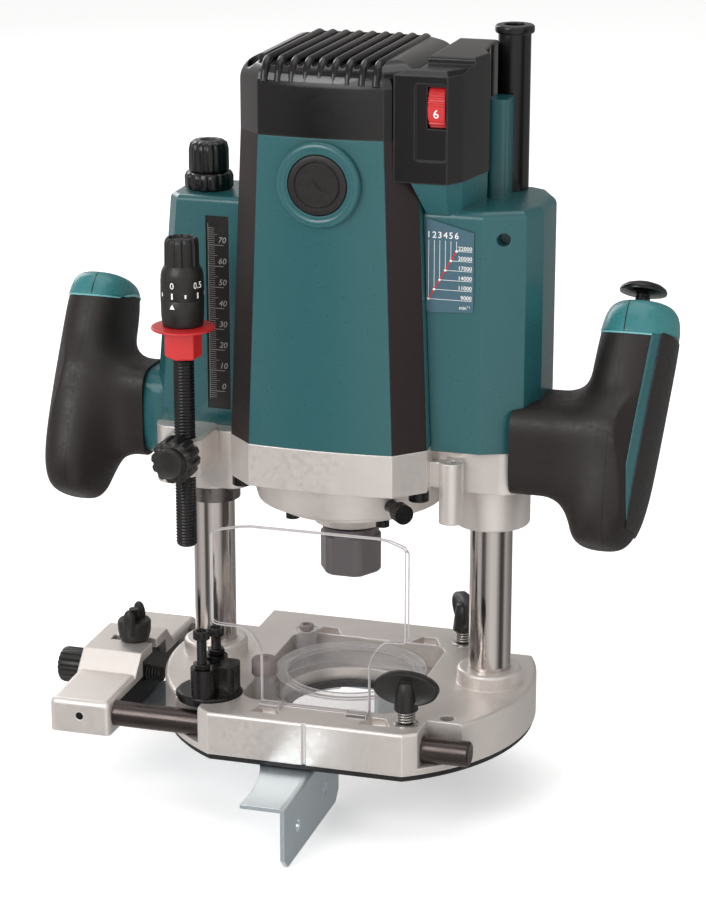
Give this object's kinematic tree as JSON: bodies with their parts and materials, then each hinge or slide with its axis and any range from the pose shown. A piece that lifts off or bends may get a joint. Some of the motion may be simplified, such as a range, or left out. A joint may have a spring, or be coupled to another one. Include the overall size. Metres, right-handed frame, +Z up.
{
  "type": "plunge router",
  "caption": "Plunge router with twin columns, raked side grips, turret depth stop and an adjustable side fence, built as separate moving pieces.",
  "frame": {"origin": "spindle axis at the underside of the sole plate", "axes": "+X along the guide rods away from the fence, -Y is the operator's front, +Z up the spindle"},
  "size_m": [0.2966, 0.215, 0.3635],
  "materials": {
    "cast_aluminium": "sand cast and linished, satin",
    "sole_plastic": "smooth phenolic",
    "screw_steel": "blackened steel",
    "chrome_steel": "ground and chromed",
    "spring_steel": "oiled spring steel",
    "rod_steel": "dark oxide, drawn",
    "zinc_steel": "zinc plated sheet",
    "clear_plastic": "clear polycarbonate",
    "nylon_black": "moulded nylon",
    "housing_teal": "moulded, fine grain",
    "cover_black": "polished",
    "grip_rubber": "soft overmould",
    "dial_red": "moulded",
    "label_black": "printed",
    "carbon_brass": "pressed brass",
    "lamination": "stacked laminations",
    "copper": "turned copper",
    "board_green": "potted board",
    "turret_steel": "black oxide"
  },
  "bodies": {
    "base": {"base_casting": "cast_aluminium", "base_plate": "sole_plastic", "base_screws": "screw_steel", "columns": "chrome_steel", "return_springs": "spring_steel", "height_limit_rod": "screw_steel", "clamp_springs": "spring_steel", "turret_screw": "screw_steel", "chip_deflector": "clear_plastic", "dust_nozzle": "clear_plastic", "nozzle_screws": "nylon_black"},
    "turret": {"stopper_block": "turret_steel", "stop_bolts": "turret_steel"},
    "front_wing_bolt": {"wing_bolt_front": "nylon_black"},
    "rear_wing_bolt": {"wing_bolt_rear": "nylon_black"},
    "limit_nut": {"height_limit_nut": "nylon_black"},
    "limit_lock_nut": {"height_lock_nut": "nylon_black"},
    "guide": {"guide_rods": "rod_steel", "guide_holder": "cast_aluminium", "rod_set_screws": "screw_steel"},
    "fine_screw": {"fine_adjust_screw": "nylon_black"},
    "fence": {"fence_slider": "nylon_black", "slider_fasteners": "screw_steel", "fence_plate": "zinc_steel"},
    "fence_wing_nut": {"fence_wing_nut": "nylon_black"},
    "motor_unit": {"motor_bracket": "cast_aluminium", "column_sleeves": "spring_steel", "bearing_retainer": "cast_aluminium", "unit_screws": "screw_steel", "motor_housing": "housing_teal", "left_housing": "housing_teal", "right_housing": "housing_teal", "scale_plates": "label_black", "switch_and_board": "board_green", "top_cover": "cover_black", "dial_cover": "cover_black", "cord_guard": "cover_black", "power_cord": "grip_rubber", "brush_caps": "cover_black", "brush_sets": "carbon_brass", "field_core": "lamination", "ball_bearings": "spring_steel", "left_grip": "grip_rubber", "left_grip_cap": "housing_teal", "right_grip": "grip_rubber", "right_grip_cap": "housing_teal"},
    "rotor": {"spindle": "spring_steel", "armature": "copper", "cooling_fan": "nylon_black", "collet": "spring_steel"},
    "collet_nut": {"collet_nut": "turret_steel"},
    "speed_dial": {"speed_dial": "dial_red"},
    "switch_trigger": {"switch_trigger": "cover_black"},
    "lock_button": {"lock_button": "cover_black"},
    "plunge_lock": {"plunge_lock_lever": "nylon_black"},
    "spindle_lock": {"spindle_lock_pin": "turret_steel"},
    "depth_stop": {"depth_rod": "turret_steel", "depth_pointer": "dial_red"},
    "depth_knob": {"depth_fine_knob": "nylon_black"},
    "depth_clamp": {"depth_clamp_knob": "nylon_black"}
  },
  "joints": [
    {"name": "plunge", "type": "slide", "parent": "base", "child": "motor_unit", "axis": [0, 0, 1], "range_m": [-0.07, 0], "stiffness_N_per_m": 1000, "springref_m": 0.1, "deforming": ["return_springs"]},
    {"name": "spindle_spin", "type": "hinge", "parent": "motor_unit", "child": "rotor", "pos_m": [0, 0, 0.15], "axis": [0, 0, 1], "continuous": true},
    {"name": "collet_nut_turn", "type": "hinge", "parent": "rotor", "child": "collet_nut", "pos_m": [0, 0, 0.085], "axis": [0, 0, 1], "continuous": true},
    {"name": "speed_dial_turn", "type": "hinge", "parent": "motor_unit", "child": "speed_dial", "pos_m": [0.052, -0.0335, 0.3052], "axis": [1, 0, 0], "range_deg": [0, 270]},
    {"name": "trigger_press", "type": "slide", "parent": "motor_unit", "child": "switch_trigger", "axis": [0, -0.8829, 0.4695], "range_m": [0, 0.004]},
    {"name": "lock_button_press", "type": "slide", "parent": "motor_unit", "child": "lock_button", "axis": [0, -0.4695, -0.8829], "range_m": [0, 0.003]},
    {"name": "plunge_lock_swing", "type": "hinge", "parent": "motor_unit", "child": "plunge_lock", "pos_m": [-0.0687, 0.028, 0.128], "axis": [0, 1, 0], "range_deg": [0, 40]},
    {"name": "spindle_lock_press", "type": "slide", "parent": "motor_unit", "child": "spindle_lock", "axis": [-0.6455, 0.7638, 0], "range_m": [0, 0.0035]},
    {"name": "depth_rod_slide", "type": "slide", "parent": "motor_unit", "child": "depth_stop", "axis": [0, 0, -1], "range_m": [-0.018, 0.033], "stiffness_N_per_m": 20, "springref_m": -0.0509},
    {"name": "depth_fine_turn", "type": "hinge", "parent": "depth_stop", "child": "depth_knob", "pos_m": [-0.0645, -0.0505, 0.22], "axis": [0, 0, 1], "continuous": true},
    {"name": "depth_clamp_turn", "type": "hinge", "parent": "motor_unit", "child": "depth_clamp", "pos_m": [-0.0645, -0.065, 0.141], "axis": [0, -1, 0], "continuous": true},
    {"name": "height_limit_turn", "type": "hinge", "parent": "base", "child": "limit_nut", "pos_m": [-0.0687, 0, 0.258], "axis": [0, 0, 1], "continuous": true},
    {"name": "height_lock_turn", "type": "hinge", "parent": "base", "child": "limit_lock_nut", "pos_m": [-0.0687, 0, 0.269], "axis": [0, 0, 1], "continuous": true},
    {"name": "turret_turn", "type": "hinge", "parent": "base", "child": "turret", "pos_m": [-0.0545, -0.0505, 0.03], "axis": [0, 0, 1], "range_deg": [0, 360]},
    {"name": "front_wing_bolt_turn", "type": "hinge", "parent": "base", "child": "front_wing_bolt", "pos_m": [0.045, -0.0625, 0.03], "axis": [0, 0, 1], "continuous": true},
    {"name": "rear_wing_bolt_turn", "type": "hinge", "parent": "base", "child": "rear_wing_bolt", "pos_m": [0.045, 0.044, 0.03], "axis": [0, 0, 1], "continuous": true},
    {"name": "guide_slide", "type": "slide", "parent": "base", "child": "guide", "axis": [-1, 0, 0], "range_m": [-0.003, 0.024]},
    {"name": "fine_screw_turn", "type": "hinge", "parent": "guide", "child": "fine_screw", "pos_m": [-0.12, -0.00925, 0.0115], "axis": [-1, 0, 0], "range_deg": [-1440, 1440]},
    {"name": "fence_slide", "type": "slide", "parent": "guide", "child": "fence", "axis": [-1, 0, 0], "range_m": [-0.0059, 0.0059]},
    {"name": "fence_wing_nut_turn", "type": "hinge", "parent": "fence", "child": "fence_wing_nut", "pos_m": [-0.1077, -0.00925, 0.035], "axis": [0, 0, 1], "continuous": true}
  ],
  "couplings": [
    {"joint": "fine_screw_turn", "follows": "fence_slide", "rad_per_m": 4188.8}
  ]
}
